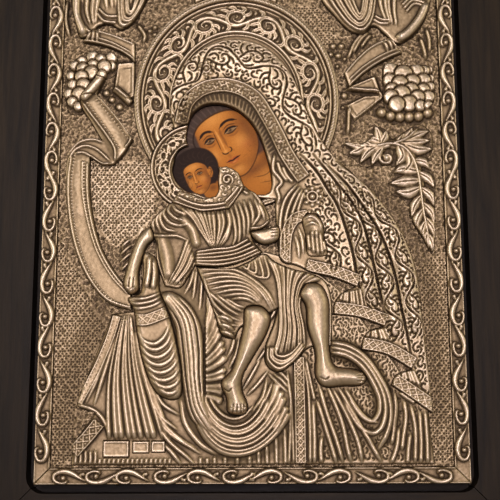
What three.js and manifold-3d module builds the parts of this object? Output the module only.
// A framed oklad: a raised silver cover over a painted wooden icon panel, set in a dark wood surround.
// Millimetres. X runs to the right, the front faces -Y and Z is up. The origin is the middle of the
// underside of the bottom rail, halfway through the depth of the wood.
import * as THREE from "three";
import { mergeVertices } from "three/addons/utils/BufferGeometryUtils.js";
import Module from "manifold-3d";

const wasm = await Module();
wasm.setup();

// Driving dimensions
const cover = { width: 160, height: 240, sheet: 0.8, skirt: 8 };
const frame = { face: 40, depth: 24, mitreGap: 0.3 };
const pocket = { gap: 3.5, depth: 8, cornerRadius: 6.5 };
const lip = { width: 12, thickness: 8.5 };
const panel = { thickness: 9.4 };
const gesso = { thickness: 0.6 };
const backBoard = { thickness: 2.5 };
const border = { width: 6, fillet: 0.9, fillHeight: 1.1, floorHeight: 0.5, bead: 1.5, beadHeight: 1.6 };
const spline = { length: 22, width: 14, thickness: 3 };
const woodScrew = { head: 2.6, shank: 1.25, taper: 1.8, tip: 2.2 };
const panelScrew = { length: 14, inset: 6, rise: 45 };
const boardScrew = { length: 8.5, inset: 6, rise: 25 };
const nail = { head: 1.3, headHeight: 0.7, shank: 0.5, length: 6.5, tip: 1.2 };
const hanger = { plateLength: 34, plateHeight: 9, plateThickness: 1.2, axisDrop: 22, screwLength: 8 };
const eye = { width: 3.4, wall: 0.85, bore: 1.45 };
const ring = { radius: 6, wire: 0.95 };
const hangerPocket = { margin: 2, depth: 6, headroom: 16 };
const clearance = 0.3;
const overrun = 2;
const relief = {
  halo: 1, haloRim: 2.2, childHalo: 1.3, childRim: 2.4, mantle: 2.2, mantleFold: 4.6, hem: 3.8,
  robe: 1.6, robeFold: 3.4, swag: 4.2, tunic: 2.8, tunicFold: 4.6, sash: 5, lap: 2.8, lapFold: 5,
  limb: 5.4, arm: 4.4, hand: 4.6, collar: 4.8, scroll: 2.4, cloud: 1.2, ball: 3.2,
  angel: 2.4, angelFold: 3.8, crown: 2.4, leaf: 1.6, leafVein: 2.8, plate: 2.8,
};
const edgeRound = { sheet: 0.5, limb: 1 };

// Drawing grid: tables of shares are written in 160 columns by 240 rows of the cover
const columnShare = 1 / 160;
const rowShare = 1 / 240;
const column = cover.width * columnShare;
const row = cover.height * rowShare;

// Levels through the depth, front to back
const frontFace = -frame.depth / 2;
const wallPlane = frame.depth / 2;
const pocketFloor = frontFace + pocket.depth;
const panelFront = pocketFloor - panel.thickness;
const gessoFront = panelFront - gesso.thickness;
const sheetFront = gessoFront - cover.sheet;
const lipRear = pocketFloor + lip.thickness;
const boardRear = lipRear + backBoard.thickness;
const hangerFloor = wallPlane - hangerPocket.depth;

// Places in the plane of the cover
const outerWidth = cover.width + 2 * frame.face;
const outerHeight = cover.height + 2 * frame.face;
const coverFoot = frame.face;
const middle = coverFoot + cover.height / 2;
const hangerAxis = { y: 0, z: outerHeight - hanger.axisDrop };
hangerAxis.y = hangerFloor + hanger.plateThickness + eye.bore;

// Counts
const roundSides = 12;
const fastenerSides = 8;
const haloSides = 48;
const ringSteps = 24;
const ringSides = 8;
const bevelSteps = 2;
const foldSteps = 8;
const ballSides = 6;
const ballRings = 4;

const materials = {
  silver: new THREE.MeshStandardMaterial({ color: 0xc9b690, roughness: 0.35, metalness: 1 }),
  wood: new THREE.MeshStandardMaterial({ color: 0x2c231a, roughness: 0.45, metalness: 0 }),
  limewood: new THREE.MeshStandardMaterial({ color: 0xb08d5e, roughness: 0.8, metalness: 0 }),
  paint: new THREE.MeshStandardMaterial({ color: 0xc07434, roughness: 0.5, metalness: 0 }),
  board: new THREE.MeshStandardMaterial({ color: 0x6b4a30, roughness: 0.9, metalness: 0 }),
  brass: new THREE.MeshStandardMaterial({ color: 0xb08a48, roughness: 0.35, metalness: 1 }),
  steel: new THREE.MeshStandardMaterial({ color: 0x8f8f90, roughness: 0.4, metalness: 1 }),
};
const icon = new THREE.Group();

// Solids from geometries and back
function solid(geometry) {
  const bare = geometry.clone();
  bare.deleteAttribute("normal");
  bare.deleteAttribute("uv");
  const merged = mergeVertices(bare);
  return new wasm.Manifold(
    new wasm.Mesh({
      numProp: 3,
      vertProperties: merged.attributes.position.array,
      triVerts: new Uint32Array(merged.index.array),
    }),
  );
}

function addNode(name, made, material) {
  const mesh = made.getMesh();
  const geometry = new THREE.BufferGeometry();
  geometry.setAttribute("position", new THREE.BufferAttribute(mesh.vertProperties, 3));
  geometry.setIndex(new THREE.BufferAttribute(mesh.triVerts, 1));
  geometry.computeVertexNormals();
  const node = new THREE.Mesh(geometry, material);
  node.name = name;
  icon.add(node);
}

const largestBody = (made) =>
  made.decompose().reduce((best, body) => (body.volume() > best.volume() ? body : best));

// A box by its low and high corners
function block(low, high) {
  const size = high.map((value, i) => value - low[i]);
  const centre = high.map((value, i) => (value + low[i]) / 2);
  return solid(new THREE.BoxGeometry(...size).translate(...centre));
}

// A prism that stands on the plane y = back and comes forward by height; grow widens its outline
function prism(points, back, height, grow = 0) {
  const shape = new THREE.Shape(points.map(([x, z]) => new THREE.Vector2(x, z)));
  const options = { depth: height, bevelEnabled: grow > 0, bevelThickness: grow, bevelSize: grow };
  const extruded = new THREE.ExtrudeGeometry(shape, { ...options, bevelSegments: 1 });
  return solid(extruded.rotateX(Math.PI / 2).translate(0, back, 0));
}

// The same prism with its front edge rolled over
function rolledPrism(points, back, height, round) {
  const shape = new THREE.Shape(points.map(([x, z]) => new THREE.Vector2(x, z)));
  const extruded = new THREE.ExtrudeGeometry(shape, {
    depth: height - round,
    bevelThickness: round,
    bevelSize: round,
    bevelOffset: -round,
    bevelSegments: bevelSteps,
  });
  const whole = solid(extruded.rotateX(Math.PI / 2).translate(0, back, 0));
  const reach = cover.width + cover.height;
  return whole.subtract(block([-reach, back, -reach], [reach, back + reach, reach]));
}

const rectangle = (left, foot, right, top) => [[left, foot], [right, foot], [right, top], [left, top]];

// Curves from tables of shares: each run is one smooth curve, and runs meet at corners
const onCover = ([across, up]) => new THREE.Vector3(across * column, 0, coverFoot + up * row);
const runStepShare = 5;
const runStep = runStepShare * column;

function curvePoints(shares) {
  const curve = new THREE.CatmullRomCurve3(shares.map(onCover), false, "centripetal");
  const steps = shares.length === 2 ? 1 : Math.max(2, Math.round(curve.getLength() / runStep));
  return curve.getPoints(steps).map((p) => [p.x, p.z]);
}

const outline = (runs) => runs.flatMap((run) => curvePoints(run).slice(0, -1));

function loop(shares) {
  const curve = new THREE.CatmullRomCurve3(shares.map(onCover), true, "centripetal");
  return curve.getPoints(2 * shares.length).slice(0, -1).map((p) => [p.x, p.z]);
}

// Folds: ridges that run from one end of two guide curves to the other, evenly spread between them
function pleats({ leftShares, rightShares, folds, valley, crest }) {
  const left = new THREE.CatmullRomCurve3(leftShares.map(onCover), false, "centripetal");
  const right = new THREE.CatmullRomCurve3(rightShares.map(onCover), false, "centripetal");
  const across = 2 * folds;
  const endShare = 0.06;
  const positions = [];
  for (const isFront of [true, false]) {
    for (let i = 0; i <= foldSteps; i++) {
      const t = i / foldSteps;
      const a = left.getPoint(t);
      const b = right.getPoint(t);
      const rise = Math.sqrt(Math.sin(Math.PI * (endShare + (1 - 2 * endShare) * t)));
      for (let j = 0; j <= across; j++) {
        const point = a.clone().lerp(b, j / across);
        const height = j % 2 ? valley + (crest - valley) * rise : valley;
        positions.push(point.x, sheetFront - (isFront ? height : 0), point.z);
      }
    }
  }
  const at = (i, j) => i * (across + 1) + j;
  const rear = (foldSteps + 1) * (across + 1);
  const faces = [];
  const quad = (a, b, c, d) => faces.push([a, b, c], [a, c, d]);
  for (let i = 0; i < foldSteps; i++) {
    for (let j = 0; j < across; j++) {
      quad(at(i, j), at(i, j + 1), at(i + 1, j + 1), at(i + 1, j));
      quad(rear + at(i, j), rear + at(i + 1, j), rear + at(i + 1, j + 1), rear + at(i, j + 1));
    }
    quad(at(i, 0), at(i + 1, 0), rear + at(i + 1, 0), rear + at(i, 0));
    quad(at(i + 1, across), at(i, across), rear + at(i, across), rear + at(i + 1, across));
  }
  for (let j = 0; j < across; j++) {
    quad(at(0, j + 1), at(0, j), rear + at(0, j), rear + at(0, j + 1));
    quad(at(foldSteps, j), at(foldSteps, j + 1), rear + at(foldSteps, j + 1), rear + at(foldSteps, j));
  }
  const corner = (k) => new THREE.Vector3().fromArray(positions, 3 * k);
  const volume = faces.reduce((sum, [a, b, c]) => sum + corner(a).dot(corner(b).cross(corner(c))), 0);
  const index = faces.flatMap(([a, b, c]) => (volume > 0 ? [a, b, c] : [a, c, b]));
  const geometry = new THREE.BufferGeometry();
  geometry.setAttribute("position", new THREE.BufferAttribute(new Float32Array(positions), 3));
  geometry.setIndex(index);
  return solid(geometry);
}

// A turned solid on an axis along Y; the profile runs from axis to axis in radius and y
function turned(profile, x, z) {
  const lathe = new THREE.LatheGeometry(profile.map(([r, y]) => new THREE.Vector2(r, y)), fastenerSides);
  return solid(lathe.translate(x, 0, z));
}

// Screws driven towards the front, and their holes
function screwProfile(seat, length, grow) {
  const { head, shank, taper, tip } = woodScrew;
  return [
    [0, seat - length - grow],
    [shank + grow, seat - length + tip],
    [shank + grow, seat - taper],
    [head + grow, seat],
    [head + grow, seat + grow],
    [0, seat + grow],
  ];
}
function screwAt([x, z], seat, length) {
  const profile = screwProfile(seat, length, 0).slice(0, 4);
  return turned([...profile, [0, seat]], x, z);
}
const screwHole = ([x, z], seat, length) => turned(screwProfile(seat, length, clearance), x, z);

// Wooden surround: four mitred rails
const outerRight = outerWidth / 2;
const openingRight = cover.width / 2 - lip.width;
const openingFoot = coverFoot + lip.width;
const openingTop = outerHeight - openingFoot;
const mitre = frame.mitreGap * Math.SQRT1_2;
const railPlans = {
  bottom: [
    [-outerRight + mitre, 0],
    [outerRight - mitre, 0],
    [openingRight - mitre, openingFoot],
    [-openingRight + mitre, openingFoot],
  ],
  top: [
    [-openingRight + mitre, openingTop],
    [openingRight - mitre, openingTop],
    [outerRight - mitre, outerHeight],
    [-outerRight + mitre, outerHeight],
  ],
  left: [
    [-outerRight, mitre],
    [-openingRight, openingFoot + mitre],
    [-openingRight, openingTop - mitre],
    [-outerRight, outerHeight - mitre],
  ],
  right: [
    [openingRight, openingFoot + mitre],
    [outerRight, mitre],
    [outerRight, outerHeight - mitre],
    [openingRight, openingTop - mitre],
  ],
};

function roundedRectangle(halfWidth, foot, top, radius) {
  const shape = new THREE.Shape();
  shape.moveTo(-halfWidth + radius, foot);
  shape.absarc(halfWidth - radius, foot + radius, radius, -Math.PI / 2, 0);
  shape.absarc(halfWidth - radius, top - radius, radius, 0, Math.PI / 2);
  shape.absarc(-halfWidth + radius, top - radius, radius, Math.PI / 2, Math.PI);
  shape.absarc(-halfWidth + radius, foot + radius, radius, Math.PI, 1.5 * Math.PI);
  return shape.getPoints(roundSides / 2).map((p) => [p.x, p.y]);
}
const pocketPlan = roundedRectangle(
  cover.width / 2 + pocket.gap,
  coverFoot - pocket.gap,
  coverFoot + cover.height + pocket.gap,
  pocket.cornerRadius,
);
const pocketCut = prism(pocketPlan, pocketFloor, pocket.depth + overrun);
const boardEdge = cover.width / 2;
const recessCut = block(
  [-boardEdge - clearance, lipRear, coverFoot - clearance],
  [boardEdge + clearance, wallPlane + overrun, coverFoot + cover.height + clearance],
);
const hangerPocketRight = hanger.plateLength / 2 + hangerPocket.margin;
const hangerCut = block(
  [-hangerPocketRight, hangerFloor, coverFoot + cover.height],
  [hangerPocketRight, wallPlane + overrun, hangerAxis.z + hangerPocket.headroom],
);

// Mitre splines: loose tongues glued across each corner, halfway between pocket and outer corner
const splineReach = (frame.face - pocket.gap) / 2;
const cornerSigns = {
  lower_left: [-1, -1],
  lower_right: [1, -1],
  upper_left: [-1, 1],
  upper_right: [1, 1],
};
function splineSolid([across, up], grow) {
  const sizes = [spline.length, spline.thickness, spline.width].map((size) => size + 2 * grow);
  const x = across * (outerRight - splineReach);
  const z = outerHeight / 2 + up * (outerHeight / 2 - splineReach);
  return solid(new THREE.BoxGeometry(...sizes).rotateY((across * up * -Math.PI) / 4).translate(x, 0, z));
}

// Screws: four hold the panel from behind, four hold the back board, two hold the hanger plate
const panelScrewPlaces = [];
const boardScrewPlaces = [];
for (const across of [-1, 1]) {
  for (const up of [-1, 1]) {
    panelScrewPlaces.push([across * (cover.width / 2 - panelScrew.inset), middle + up * panelScrew.rise]);
    const boardRise = cover.height / 2 - boardScrew.inset - boardScrew.rise;
    boardScrewPlaces.push([across * (cover.width / 2 - boardScrew.inset), middle + up * boardRise]);
  }
}
const hangerScrewReach = hanger.plateLength / 2 - hanger.plateHeight / 2;
const hangerScrewPlaces = [[-hangerScrewReach, hangerAxis.z], [hangerScrewReach, hangerAxis.z]];
const panelScrewSeat = lipRear - clearance;
const boardScrewSeat = boardRear;
const hangerScrewSeat = hangerFloor + hanger.plateThickness;

const screwHoles = (places, seat, length) => places.map((place) => screwHole(place, seat, length));
const panelScrewHoles = screwHoles(panelScrewPlaces, panelScrewSeat, panelScrew.length);
const boardScrewHoles = screwHoles(boardScrewPlaces, boardScrewSeat, boardScrew.length);
const hangerScrewHoles = screwHoles(hangerScrewPlaces, hangerScrewSeat, hanger.screwLength);
const subtractAll = (made, cuts) => cuts.reduce((left, cut) => left.subtract(cut), made);

for (const [side, plan] of Object.entries(railPlans)) {
  const cuts = [pocketCut, recessCut, ...panelScrewHoles, ...boardScrewHoles];
  cuts.push(...Object.values(cornerSigns).map((signs) => splineSolid(signs, clearance)));
  if (side === "top") cuts.push(hangerCut, ...hangerScrewHoles);
  addNode(`frame_${side}_rail`, subtractAll(prism(plan, wallPlane, frame.depth), cuts), materials.wood);
}
for (const [corner, signs] of Object.entries(cornerSigns)) {
  addNode(`mitre_spline_${corner}`, splineSolid(signs, 0), materials.limewood);
}
const addScrews = (name, places, seat, length, material) =>
  places.forEach((place, i) => addNode(`${name}_${i + 1}`, screwAt(place, seat, length), material));
addScrews("panel_screw", panelScrewPlaces, panelScrewSeat, panelScrew.length, materials.steel);
addScrews("back_board_screw", boardScrewPlaces, boardScrewSeat, boardScrew.length, materials.brass);
addScrews("hanger_screw", hangerScrewPlaces, hangerScrewSeat, hanger.screwLength, materials.brass);

const backBoardBlock = block(
  [-boardEdge, lipRear, coverFoot],
  [boardEdge, boardRear, coverFoot + cover.height],
);
addNode("back_board", subtractAll(backBoardBlock, boardScrewHoles), materials.board);

// Hanger: a plate with a saddle eye, and a ring that swings in it
function hangerPlateSolid() {
  const end = hanger.plateHeight / 2;
  const plan = new THREE.Shape();
  plan.absarc(hangerScrewReach, hangerAxis.z, end, -Math.PI / 2, Math.PI / 2);
  plan.absarc(-hangerScrewReach, hangerAxis.z, end, Math.PI / 2, 1.5 * Math.PI);
  const points = plan.getPoints(roundSides / 2).map((p) => [p.x, p.y]);
  const plate = prism(points, hangerScrewSeat, hanger.plateThickness);
  const barrel = (radius, length) =>
    solid(
      new THREE.CylinderGeometry(radius, radius, length, roundSides)
        .rotateZ(Math.PI / 2)
        .translate(0, hangerAxis.y, hangerAxis.z),
    );
  const saddle = barrel(eye.bore + eye.wall, eye.width);
  const belowFloor = block(
    [-eye.width, hangerFloor - eye.width, hangerAxis.z - end],
    [eye.width, hangerFloor, hangerAxis.z + end],
  );
  const bored = plate.add(saddle.subtract(belowFloor)).subtract(barrel(eye.bore, eye.width + 2 * clearance));
  return subtractAll(bored, hangerScrewHoles);
}
addNode("hanger_plate", hangerPlateSolid(), materials.brass);
const ringGeometry = new THREE.TorusGeometry(ring.radius, ring.wire, ringSides, ringSteps)
  .rotateX(Math.PI / 2)
  .translate(0, hangerAxis.y, hangerAxis.z - ring.radius);
addNode("hanger_ring", solid(ringGeometry), materials.brass);

// Icon panel, gesso and the nailed ground sheet of the cover
const panelRight = cover.width / 2 - cover.sheet - clearance;
const panelFoot = coverFoot + cover.sheet + clearance;
const panelTop = coverFoot + cover.height - cover.sheet - clearance;
const skirtRear = sheetFront + cover.skirt;
const nailLevel = skirtRear - cover.skirt / 4;
const nailColumnShare = 50;
const nailPlaces = [
  { at: [-nailColumnShare * column, coverFoot], turn: 0 },
  { at: [nailColumnShare * column, coverFoot], turn: 0 },
  { at: [cover.width / 2, middle], turn: Math.PI / 2 },
  { at: [nailColumnShare * column, coverFoot + cover.height], turn: Math.PI },
  { at: [-nailColumnShare * column, coverFoot + cover.height], turn: Math.PI },
  { at: [-cover.width / 2, middle], turn: -Math.PI / 2 },
];

// A nail along +Z, with its head below z = 0, turned and put in its place
function nailSolid({ at, turn }, grow) {
  const profile = [
    [0, nail.length + grow],
    [nail.shank + grow, nail.length - nail.tip],
    [nail.shank + grow, -grow],
    [nail.head + grow, -grow],
    [nail.head / 2 + grow, -nail.headHeight - grow],
    [0, -nail.headHeight - grow],
  ].reverse();
  const lathe = new THREE.LatheGeometry(profile.map(([r, y]) => new THREE.Vector2(r, y)), fastenerSides);
  const placed = lathe.rotateX(Math.PI / 2).rotateY(-turn);
  return solid(placed.translate(at[0], nailLevel, at[1]));
}
const nailHoles = nailPlaces.map((place) => nailSolid(place, clearance / 2));
const panelBlock = block([-panelRight, panelFront, panelFoot], [panelRight, pocketFloor, panelTop]);
addNode("icon_panel", subtractAll(panelBlock, [...nailHoles, ...panelScrewHoles]), materials.limewood);
addNode(
  "painted_gesso",
  block([-panelRight, gessoFront, panelFoot], [panelRight, panelFront, panelTop]),
  materials.paint,
);
nailPlaces.forEach((place, i) => addNode(`skirt_nail_${i + 1}`, nailSolid(place, 0), materials.brass));

// Windows that leave the painted heads in view
const motherWindowShares = [
  [-24.5, 128], [-24.8, 134], [-22.8, 140], [-18.5, 143.6], [-13, 144.4], [-7, 142.8],
  [-1.5, 138.6], [2.6, 132.5], [5.4, 125], [7.2, 118], [7.8, 112], [6.6, 108.8],
  [2.5, 108.2], [-2.6, 111.6], [-4.6, 116], [-9, 118.8], [-14, 119.5], [-19, 122],
];
const childWindowShares = [
  [-29.8, 121], [-28.6, 125.2], [-25, 127.6], [-19, 126.8], [-14.4, 123], [-12.6, 118], [-12.8, 113],
  [-12.6, 110], [-13.6, 107.6], [-17, 107], [-20.5, 108.4], [-25, 109.8], [-28.8, 113.4], [-30.3, 117.5],
];
const windowDepth = cover.sheet + relief.limb + overrun;
const windowCut = prism(loop(motherWindowShares), gessoFront + overrun, windowDepth + overrun).add(
  prism(loop(childWindowShares), gessoFront + overrun, windowDepth + overrun),
);

const trayOuter = block(
  [-cover.width / 2, sheetFront, coverFoot],
  [cover.width / 2, skirtRear, coverFoot + cover.height],
);
const trayInner = block(
  [-cover.width / 2 + cover.sheet, gessoFront, coverFoot + cover.sheet],
  [cover.width / 2 - cover.sheet, skirtRear + overrun, coverFoot + cover.height - cover.sheet],
);
addNode("ground_sheet", subtractAll(trayOuter, [trayInner, windowCut, ...nailHoles]), materials.silver);

// Border mouldings, mitred at the corners
const borderProfile = [
  [0, 0],
  [border.width, 0],
  [border.width, border.beadHeight / 2],
  [border.width - border.bead / 4, border.beadHeight],
  [border.width - (3 * border.bead) / 4, border.beadHeight],
  [border.width - border.bead, border.floorHeight],
  [border.fillet, border.floorHeight],
  [border.fillet, border.fillHeight],
  [0, border.fillHeight],
];

function borderSolid(length, turn, offset) {
  const shape = new THREE.Shape(borderProfile.map(([across, up]) => new THREE.Vector2(across, up)));
  const geometry = new THREE.ExtrudeGeometry(shape, { depth: 1, bevelEnabled: false });
  const places = geometry.attributes.position;
  for (let i = 0; i < places.count; i++) {
    const across = places.getX(i);
    const half = length / 2 - across - mitre;
    places.setXYZ(i, places.getZ(i) > 0 ? half : -half, -places.getY(i), across - offset);
  }
  return solid(geometry.rotateY(turn).translate(0, sheetFront, middle));
}
addNode("border_bottom", borderSolid(cover.width, 0, cover.height / 2), materials.silver);
addNode("border_right", borderSolid(cover.height, -Math.PI / 2, cover.width / 2), materials.silver);
addNode("border_top", borderSolid(cover.width, Math.PI, cover.height / 2), materials.silver);
addNode("border_left", borderSolid(cover.height, Math.PI / 2, cover.width / 2), materials.silver);

// Raised pieces on the ground sheet, within the field that the border leaves. Each is laid after the ones
// that overlap it, and is cut back from them by the clearance, so the sheets fit together like marquetry.
const fieldMargin = border.width + clearance;
const field = block(
  [-cover.width / 2 + fieldMargin, sheetFront - relief.limb - overrun, coverFoot + fieldMargin],
  [cover.width / 2 - fieldMargin, sheetFront, coverFoot + cover.height - fieldMargin],
);
const laid = [];

function layPiece(name, points, made) {
  const xs = points.map(([x]) => x);
  const zs = points.map(([, z]) => z);
  const box = { left: Math.min(...xs), right: Math.max(...xs), foot: Math.min(...zs), top: Math.max(...zs) };
  const meets = (other) =>
    other.left - clearance < box.right &&
    box.left < other.right + clearance &&
    other.foot - clearance < box.top &&
    box.foot < other.top + clearance;
  const cuts = laid.filter((piece) => meets(piece.box)).map((piece) => piece.cutter);
  const trimmed = subtractAll(made.intersect(field), [windowCut, ...cuts]);
  addNode(name, largestBody(trimmed), materials.silver);
  laid.push({ box, cutter: prism(points, sheetFront + overrun, relief.limb + 2 * overrun, clearance) });
}

function layFolded(name, points, height, families = []) {
  const mould = prism(points, sheetFront, relief.limb + overrun);
  const folded = families.map((family) => pleats(family).intersect(mould));
  layPiece(name, points, folded.reduce((whole, fold) => whole.add(fold), prism(points, sheetFront, height)));
}

const layRolled = (name, points, height, round) =>
  layPiece(name, points, rolledPrism(points, sheetFront, height, round));

// Three bare assay plates at the foot
const plateShares = [[-54.6, 9.8, -45, 15.8], [-43.8, 11.2, -37.7, 15.6], [-37, 11.4, -31.8, 15.6]];
plateShares.forEach(([left, foot, right, top], i) => {
  const corners = rectangle(left * column, coverFoot + foot * row, right * column, coverFoot + top * row);
  layRolled(`assay_plate_${i + 1}`, corners, relief.plate, edgeRound.sheet);
});

// Limbs and hands
const motherRightSleeveShares = [
  [-40.4, 85.6], [-36.6, 84], [-34.8, 78], [-34.6, 71.6], [-31.4, 64], [-28, 52], [-25.8, 40], [-26.4, 31.6],
  [-30, 30.4], [-35.6, 33.4], [-40.4, 44], [-43, 55.6], [-44.4, 64], [-46.4, 68], [-42, 70.4], [-41.6, 78],
];
layRolled("mother_right_sleeve", loop(motherRightSleeveShares), relief.hand, edgeRound.limb);
const motherLeftHandShares = [
  [19.4, 98.6], [23.6, 100.6], [27, 97], [27.8, 90], [28.6, 84.6], [25, 83.8], [21.4, 84.4], [20.4, 92],
];
layRolled("mother_left_hand", loop(motherLeftHandShares), relief.hand, edgeRound.limb);
const childRightArmShares = [
  [-38.6, 95.4], [-42.4, 92.6], [-45.4, 86], [-47.6, 78.6], [-48.4, 73], [-45.6, 69.4],
  [-42.6, 71], [-42.4, 78], [-41, 84], [-39.6, 88], [-37, 91],
];
layRolled("child_right_arm", loop(childRightArmShares), relief.arm, edgeRound.limb);
const childLeftArmShares = [[-0.4, 93], [2.4, 89.2], [6, 88.4], [10.4, 90.6], [10.2, 95.4], [5, 94.6]];
layRolled("child_left_arm", loop(childLeftArmShares), relief.arm, edgeRound.limb);
const childRightLegShares = [
  [-2.4, 64.4], [3.4, 65], [7, 61], [5.4, 54.6], [0.4, 46], [-3.4, 39], [-3.6, 34], [-1.6, 28],
  [-2.6, 25.2], [-8.6, 25.6], [-9.6, 31], [-11.4, 36.6], [-7.6, 41.4], [-5, 50], [-3.2, 58],
];
layRolled("child_right_leg", loop(childRightLegShares), relief.limb, edgeRound.limb);
const childLeftLegShares = [
  [20.4, 73.4], [25.4, 73.2], [28.6, 68], [29, 58], [29, 47.6], [30.8, 42.8], [36.4, 41.8], [40.6, 40.4],
  [42.2, 37.8], [40.4, 35.6], [34, 35.2], [26.2, 35.2], [23.6, 38.4], [23.2, 48], [20.6, 57], [20, 65],
  [17.8, 69.4],
];
layRolled("child_left_leg", loop(childLeftLegShares), relief.limb, edgeRound.limb);

// Child's collar, tunic and lap drapery
const collarShares = [
  [[-30.4, 104.8], [-19.2, 100.8]], [[-19.2, 100.8], [-8.4, 102]], [[-8.4, 102], [-2.6, 110.6]],
  [[-2.6, 110.6], [-5, 116.6]], [[-5, 116.6], [-9, 118.8], [-13, 118.2]], [[-13, 118.2], [-13.6, 107.2]],
  [[-13.6, 107.2], [-18, 106.2]], [[-18, 106.2], [-27.4, 109.6]], [[-27.4, 109.6], [-30.4, 104.8]],
];
layFolded("child_collar", outline(collarShares), relief.collar);
const tunicShares = [
  [[-31, 104.6], [-35.6, 100.6], [-39.6, 94.6], [-40.6, 91.8]],
  [[-40.6, 91.8], [-36.8, 90.6], [-36, 82], [-32.6, 72.6]],
  [[-32.6, 72.6], [-27, 72], [-24, 76], [-21.4, 80.4]],
  [[-21.4, 80.4], [-12, 79.8], [-5, 81.4], [4.4, 85.6]],
  [[4.4, 85.6], [0.6, 90], [-0.4, 93.4]],
  [[-0.4, 93.4], [4, 94.6], [7, 97.6], [5.4, 103], [2, 108], [-2.6, 112.4]],
  [[-2.6, 112.4], [-14, 112], [-31, 104.6]],
];
const tunicFamily = { valley: relief.tunic, crest: relief.tunicFold };
layFolded("child_tunic", outline(tunicShares), relief.tunic, [
  {
    ...tunicFamily,
    leftShares: [[-29, 104], [-25, 97], [-20, 89.6], [-15.4, 85.6]],
    rightShares: [[-18, 101.6], [-17, 96], [-15.8, 91], [-14.4, 87]],
    folds: 4,
  },
  {
    ...tunicFamily,
    leftShares: [[-14, 86.6], [-12.6, 92], [-11.4, 97], [-11, 102]],
    rightShares: [[-2, 84], [-2.4, 91], [-1.4, 98], [0, 106]],
    folds: 5,
  },
  {
    ...tunicFamily,
    leftShares: [[-40, 93], [-36.6, 97], [-34, 101.6], [-31, 104.6]],
    rightShares: [[-30, 92.6], [-29, 96], [-27.4, 99], [-26.6, 102]],
    folds: 4,
  },
  {
    ...tunicFamily,
    leftShares: [[-23.4, 93], [-28, 84], [-32, 74.4]],
    rightShares: [[-21.6, 85], [-23, 79.6], [-26, 73]],
    folds: 4,
  },
  {
    leftShares: [[-21.4, 84], [-10, 83.6], [3.6, 87]],
    rightShares: [[-21.4, 80.6], [-10, 80.2], [4.2, 84.6]],
    folds: 2,
    valley: relief.tunic,
    crest: relief.sash,
  },
]);
const lapShares = [
  [
    [-20.8, 80], [-8, 79.4], [-1, 82], [4.6, 85], [9, 81.8], [15, 79.2], [22, 77.4], [27.4, 74.6],
    [29.8, 68], [29.8, 56], [29.4, 50],
  ],
  [[29.4, 50], [21.4, 49.4], [16, 44.4], [9.6, 40.4], [5.4, 43], [4.8, 49], [8, 58], [9.8, 64]],
  [[9.8, 64], [2, 60], [-4.4, 56.8], [-6.4, 52.6]],
  [[-6.4, 52.6], [-11, 54], [-13.8, 62], [-17, 70], [-20.8, 80]],
];
const lapFamily = { valley: relief.lap, crest: relief.lapFold };
layFolded("child_lap_drapery", outline(lapShares), relief.lap, [
  {
    ...lapFamily,
    leftShares: [[-18.6, 79.4], [-5, 79.4], [3.4, 76], [9.6, 66.5]],
    rightShares: [[-14.6, 69], [-8, 69.4], [-2, 67], [1.6, 62]],
    folds: 5,
  },
  {
    ...lapFamily,
    leftShares: [[1.6, 83], [6.6, 73], [9.8, 62], [8, 50], [6.6, 43]],
    rightShares: [[25.6, 76], [18, 71], [19.4, 60], [20.4, 54], [18.6, 48]],
    folds: 7,
  },
]);

// The long bare scroll, with its fold and its rolled end
const scrollShares = [
  [
    [-45, 63.4], [-54, 66.6], [-61.6, 75], [-67.2, 87], [-70.4, 101], [-71.4, 114], [-70.4, 124.6],
    [-66, 129.6], [-60.6, 130.6], [-58, 129.8],
  ],
  [[-58, 129.8], [-62, 136.6], [-66.2, 143.4], [-66.8, 147]],
  [[-66.8, 147], [-60.6, 156.4]],
  [[-60.6, 156.4], [-57, 154.6]],
  [[-57, 154.6], [-60, 148.6]],
  [[-60, 148.6], [-51, 137.6], [-45.6, 130]],
  [[-45.6, 130], [-49, 124.4], [-53, 120]],
  [[-53, 120], [-57, 119.8], [-62, 122.8]],
  [[-62, 122.8], [-61.8, 110], [-60, 98], [-56, 86], [-50.4, 77], [-45.4, 71.6]],
  [[-45.4, 71.6], [-45, 63.4]],
];
layFolded("long_scroll", outline(scrollShares), relief.scroll, [
  {
    leftShares: [[-58, 129.4], [-62, 136.6], [-66, 144]],
    rightShares: [[-53.4, 121], [-48, 128], [-58, 148]],
    folds: 1,
    valley: relief.scroll,
    crest: relief.angelFold,
  },
  {
    leftShares: [[-66.6, 147.4], [-60.8, 156]],
    rightShares: [[-60.6, 148.4], [-57.4, 154.4]],
    folds: 1,
    valley: relief.scroll,
    crest: relief.angelFold,
  },
]);

// Halos: turned discs with raised rims, squeezed to the photographed oval
function haloSolid({ centreShares, acrossShare, upShare, ringShares, thickness, rim }) {
  const profile = [
    [0, 0],
    [1, 0],
    ...ringShares.flatMap(([outerShare, innerShare]) => [
      [outerShare, -rim],
      [innerShare, -rim],
      [innerShare - (outerShare - innerShare) / 2, -thickness],
    ]),
    [0, -thickness],
  ].reverse();
  const lathe = new THREE.LatheGeometry(profile.map(([r, y]) => new THREE.Vector2(r, y)), haloSides);
  const centre = onCover(centreShares);
  const placed = lathe.scale(acrossShare * column, 1, upShare * row);
  return solid(placed.translate(centre.x, sheetFront, centre.z));
}

function haloOutline({ centreShares, acrossShare, upShare }) {
  const centre = onCover(centreShares);
  return Array.from({ length: haloSides }, (_, i) => {
    const angle = (2 * Math.PI * i) / haloSides;
    return [
      centre.x + acrossShare * column * Math.cos(angle),
      centre.z + upShare * row * Math.sin(angle),
    ];
  });
}
const childHalo = {
  centreShares: [-21.7, 119],
  acrossShare: 17.4,
  upShare: 17.4,
  ringShares: [[0.98, 0.92], [0.6, 0.54]],
  thickness: relief.childHalo,
  rim: relief.childRim,
};

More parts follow.
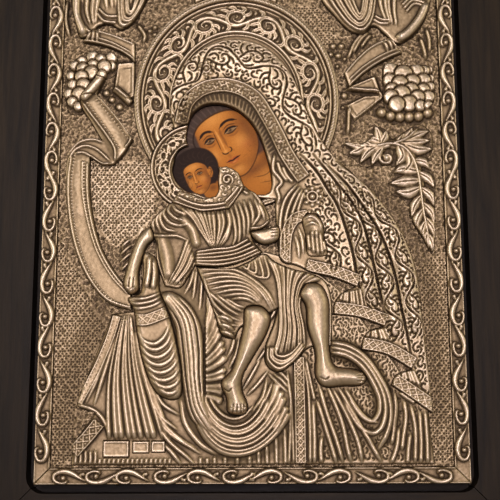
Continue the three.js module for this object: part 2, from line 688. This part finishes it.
// Mantle with its hood, right shoulder and stepped hems
const mantleShares = [
  [
    [-29.6, 133.5], [-31.4, 140], [-31.4, 147], [-29.4, 155], [-24.6, 162.4], [-16, 168.8], [-6, 171.2],
    [4, 168.8], [11.4, 162.8], [16.8, 154.6], [20, 146.4], [23, 138], [27, 130], [33, 122], [40, 115.6],
    [47, 108.4], [53, 100.4], [58, 91.6], [61.6, 81.6], [63.4, 70], [64, 58], [65, 46], [66, 35], [66.6, 25],
  ],
  [[66.6, 25], [58, 31], [51.5, 35.5]],
  [[51.5, 35.5], [52.6, 38.4], [55, 40.2], [59, 41.4]],
  [[59, 41.4], [50, 46.6], [40.6, 48.6]],
  [[40.6, 48.6], [41.6, 53], [44.4, 56], [49, 57.4]],
  [[49, 57.4], [40, 60.6], [30.4, 61.8]],
  [[30.4, 61.8], [31, 66], [34, 70], [39, 72.4]],
  [[39, 72.4], [31, 75.6], [22.6, 77.6]],
  [[22.6, 77.6], [17, 80.4], [11.6, 82], [9.6, 90], [9.2, 98], [9, 106]],
  [[9, 106], [2, 107], [-3, 110]],
  [[-3, 110], [-24, 126.5]],
  [[-24, 126.5], [-29.6, 133.5]],
];
layPiece("child_halo", haloOutline(childHalo), haloSolid(childHalo));
layFolded("mother_mantle", outline(mantleShares), relief.mantle, [
  {
    leftShares: [[15, 134], [21.6, 118], [28.6, 103], [34.6, 90], [38, 80], [40, 73]],
    rightShares: [[24.6, 137], [38, 117.6], [52.6, 101], [61.4, 82], [64, 58], [66, 32]],
    folds: 4,
    valley: relief.mantle,
    crest: relief.mantleFold,
  },
  {
    leftShares: [
      [-25, 131], [-25, 139], [-20, 146], [-12, 149], [-4, 147],
      [2, 141.5], [6.5, 133], [9, 124], [9, 113],
    ],
    rightShares: [
      [-29.5, 133], [-29.5, 142], [-23, 151], [-12, 155], [-2, 153],
      [6, 146], [11.5, 136], [16, 126], [20, 117],
    ],
    folds: 1,
    valley: relief.mantle,
    crest: relief.hem,
  },
  {
    leftShares: [[10.4, 110], [10, 96], [11.4, 83]],
    rightShares: [[19.6, 115], [18.4, 100], [16, 82]],
    folds: 4,
    valley: relief.mantle,
    crest: relief.hem,
  },
  {
    leftShares: [[38.6, 80], [42, 68], [48, 56], [54, 44], [60, 33]],
    rightShares: [[27, 79], [33, 65], [43, 52], [53, 38.6], [60, 31]],
    folds: 3,
    valley: relief.mantle,
    crest: relief.hem,
  },
]);

// Robe below the mantle, with its swags
const robeShares = [
  [[-44, 63.4], [-52.4, 62.4]],
  [[-52.4, 62.4], [-58.6, 46], [-64.8, 29]],
  [[-64.8, 29], [-63.6, 27.6], [-57.6, 25.8]],
  [[-57.6, 25.8], [-62, 20], [-66, 14.4]],
  [[-66, 14.4], [-66.2, 7]],
  [[-66.2, 7], [66.6, 7]],
  [[66.6, 7], [65.6, 18], [65, 27]],
  [[65, 27], [58, 32], [54, 42], [44, 56], [34, 70], [22, 80]],
  [[22, 80], [4, 86], [-20, 84], [-36, 77]],
  [[-36, 77], [-36.4, 70], [-44, 63.4]],
];
const robeFamily = { valley: relief.robe, crest: relief.robeFold };
layFolded("mother_robe", outline(robeShares), relief.robe, [
  {
    ...robeFamily,
    leftShares: [[-49.6, 60], [-54.6, 44], [-60, 28]],
    rightShares: [[-44, 58], [-41, 40], [-33.6, 20]],
    folds: 5,
  },
  {
    leftShares: [
      [-34, 67.4], [-28.5, 52], [-26.6, 38], [-24, 26], [-16.5, 14.5], [-6, 10.6], [4, 14], [13.4, 22],
    ],
    rightShares: [
      [-30, 69.6], [-20.6, 62], [-18, 50], [-17.6, 38], [-14.6, 27], [-7, 20.5], [1.4, 24.5], [9, 34],
    ],
    folds: 4,
    valley: relief.robe,
    crest: relief.swag,
  },
  {
    ...robeFamily,
    leftShares: [[-17.2, 38], [-14, 26.5], [-7, 20.6], [1, 24.6], [8, 33]],
    rightShares: [[-14.5, 40], [-12, 34], [-8, 29], [-2, 31], [3, 39]],
    folds: 3,
  },
  {
    ...robeFamily,
    leftShares: [[29.6, 51.6], [40, 47], [48, 38], [50.6, 28], [46.6, 19.5]],
    rightShares: [[30, 44.4], [37.6, 42.6], [43.6, 36], [46, 29], [44, 24]],
    folds: 3,
  },
  {
    ...robeFamily,
    leftShares: [[22.4, 35], [22, 22], [21.6, 9]],
    rightShares: [[36, 35], [41, 24], [49, 9]],
    folds: 5,
  },
  {
    ...robeFamily,
    leftShares: [[50.6, 34], [52, 20], [50.4, 9]],
    rightShares: [[62.4, 27], [64, 17], [64.6, 9]],
    folds: 4,
  },
  {
    ...robeFamily,
    leftShares: [[13.6, 46], [13.8, 28], [14, 9]],
    rightShares: [[20, 46], [20.4, 28], [20.6, 9]],
    folds: 2,
  },
]);

const motherHalo = {
  centreShares: [-5.7, 146],
  acrossShare: 40.2,
  upShare: 44,
  ringShares: [[0.99, 0.945], [0.915, 0.885]],
  thickness: relief.halo,
  rim: relief.haloRim,
};

// Crown over the halo
const crownShares = [
  [[-22, 186], [-14, 189.6], [-6, 190.8], [2, 189.6], [10, 186]],
  [[10, 186], [14.4, 201], [8, 198.4], [5.4, 208], [-0.4, 202.6], [-6, 213]],
  [[-6, 213], [-11.6, 202.6], [-17.4, 208], [-20, 198.4], [-26.4, 201], [-22, 186]],
];
layFolded("crown", outline(crownShares), relief.crown);
layPiece("mother_halo", haloOutline(motherHalo), haloSolid(motherHalo));

// Angels with their scrolls, on banks of cloud
const leftAngelScrollShares = [
  [[-62.4, 175.6], [-54, 173], [-45.6, 169.4]], [[-45.6, 169.4], [-45.4, 161.4]],
  [[-45.4, 161.4], [-50, 165], [-58, 168.4], [-66.4, 170]], [[-66.4, 170], [-62.4, 175.6]],
];
layFolded("angel_left_scroll", outline(leftAngelScrollShares), relief.scroll);
const rightAngelScrollShares = [
  [[54.6, 171.6], [46, 167.4], [36.4, 157]], [[36.4, 157], [38.4, 151]],
  [[38.4, 151], [45, 157], [52, 161.6], [59.6, 165]], [[59.6, 165], [54.6, 171.6]],
];
layFolded("angel_right_scroll", outline(rightAngelScrollShares), relief.scroll);
const leftAngelShares = [
  [-56, 228.6], [-49.4, 225], [-47.6, 218], [-49.6, 212], [-43, 212.6], [-38.4, 206], [-38.6, 196],
  [-42, 186], [-46.4, 178.4], [-51, 175.2], [-56, 177.4], [-60.4, 176.6], [-63, 173], [-67.4, 172],
  [-69.6, 178], [-72, 190], [-72.2, 202], [-69, 210], [-63.4, 212], [-64.6, 219], [-62.4, 225],
];
const angelFamily = { valley: relief.angel, crest: relief.angelFold };
layFolded("angel_left", loop(leftAngelShares), relief.angel, [
  {
    ...angelFamily,
    leftShares: [[-66, 208], [-68, 194], [-66, 178]],
    rightShares: [[-46, 210], [-42, 196], [-50, 178]],
    folds: 5,
  },
]);
const rightAngelShares = [
  [50, 228.6], [43.4, 225], [41.6, 218], [43.4, 212], [37, 211], [31.6, 204], [28.4, 196], [27.6, 189],
  [33, 181], [39.6, 174.2], [44.6, 173.2], [48.6, 176.4], [53, 173], [56.4, 169.4], [60, 169.4],
  [67, 175.4], [71, 184], [72.2, 196], [71, 206], [64, 212], [57.4, 212], [58.6, 219], [56.4, 225],
];
layFolded("angel_right", loop(rightAngelShares), relief.angel, [
  {
    ...angelFamily,
    leftShares: [[40, 209], [34, 196], [40, 178]],
    rightShares: [[61, 209], [68, 194], [64, 176]],
    folds: 5,
  },
]);

// Cloud banks: balls on a thin ground
const leftCloudShares = [
  [-70, 160, 2.8], [-66.4, 162.4, 2.6], [-62.4, 164.4, 2.6], [-57.6, 164, 2.6], [-53.8, 162.6, 2.4],
  [-65.8, 157.6, 3], [-61.4, 159.2, 2.8], [-56.8, 159, 3.2], [-70.8, 154.6, 2.6], [-66.4, 152.6, 3],
  [-71, 148.4, 2.6], [-67, 147.6, 3.2], [-70, 143.6, 2.6], [-67.4, 142.4, 2.2],
];
const rightCloudShares = [
  [54, 158.4, 3], [59.6, 157.2, 3.2], [65, 158.2, 2.8], [69.4, 157.4, 2.4], [54, 153.4, 2.8],
  [58.6, 152.4, 3], [64, 153.4, 2.8], [69, 153, 2.6], [55.2, 147.6, 3], [60, 147.8, 3.2],
  [65.2, 147.6, 2.8], [69.6, 148, 2.6], [56, 143, 2.8], [61.6, 143, 2.8], [67, 143.2, 2.4],
];

function cloudSolid(shares) {
  const balls = shares.map(([across, up, radiusShare]) => {
    const centre = onCover([across, up]);
    const radius = radiusShare * column;
    const sphere = new THREE.SphereGeometry(1, ballSides, ballRings).rotateX(Math.PI / 2);
    return solid(sphere.scale(radius, relief.ball, radius).translate(centre.x, sheetFront, centre.z));
  });
  const reach = cover.width + cover.height;
  const behind = block([-reach, sheetFront, -reach], [reach, sheetFront + reach, reach]);
  return balls.reduce((whole, ball) => whole.add(ball)).subtract(behind);
}
const leftCloudEdgeShares = [
  [-69.6, 163], [-63, 166.6], [-54, 165.4], [-51.8, 160], [-55, 155.6], [-61.6, 154], [-63.6, 148],
  [-65.6, 141], [-70.6, 141], [-73, 148], [-73, 156],
];
const rightCloudEdgeShares = [
  [53, 161.2], [60, 160.4], [70, 160], [72, 152], [71.4, 145], [67, 140.8], [60, 140.2], [53.2, 141],
  [51.6, 150],
];
for (const [side, balls, edge] of [
  ["left", leftCloudShares, leftCloudEdgeShares],
  ["right", rightCloudShares, rightCloudEdgeShares],
]) {
  const points = loop(edge);
  layPiece(`cloud_${side}`, points, cloudSolid(balls).add(prism(points, sheetFront, relief.cloud)));
}

// Acanthus spray to the right
const acanthusShares = [
  [68.6, 85], [64.6, 92], [60.6, 99], [59.6, 105], [53.6, 109], [53, 114], [55.6, 119], [49, 119.6],
  [42.6, 119.4], [39.6, 122.6], [35.6, 124.6], [36, 129], [42, 128.4], [46.6, 131.4], [47, 136], [52.6, 134],
  [55, 130.6], [60, 133.6], [65.4, 136.4], [70, 133], [70.4, 126], [68.4, 121.6], [71, 114], [70.6, 106],
  [70.4, 98], [70, 90],
];
layFolded("acanthus_spray", loop(acanthusShares), relief.leaf, [
  {
    leftShares: [[67.6, 88], [64.6, 100], [63.6, 112], [59, 122], [50, 126]],
    rightShares: [[69.6, 88], [68.6, 100], [68.4, 114], [64.6, 126], [52, 131]],
    folds: 2,
    valley: relief.leaf,
    crest: relief.leafVein,
  },
]);

export default icon;
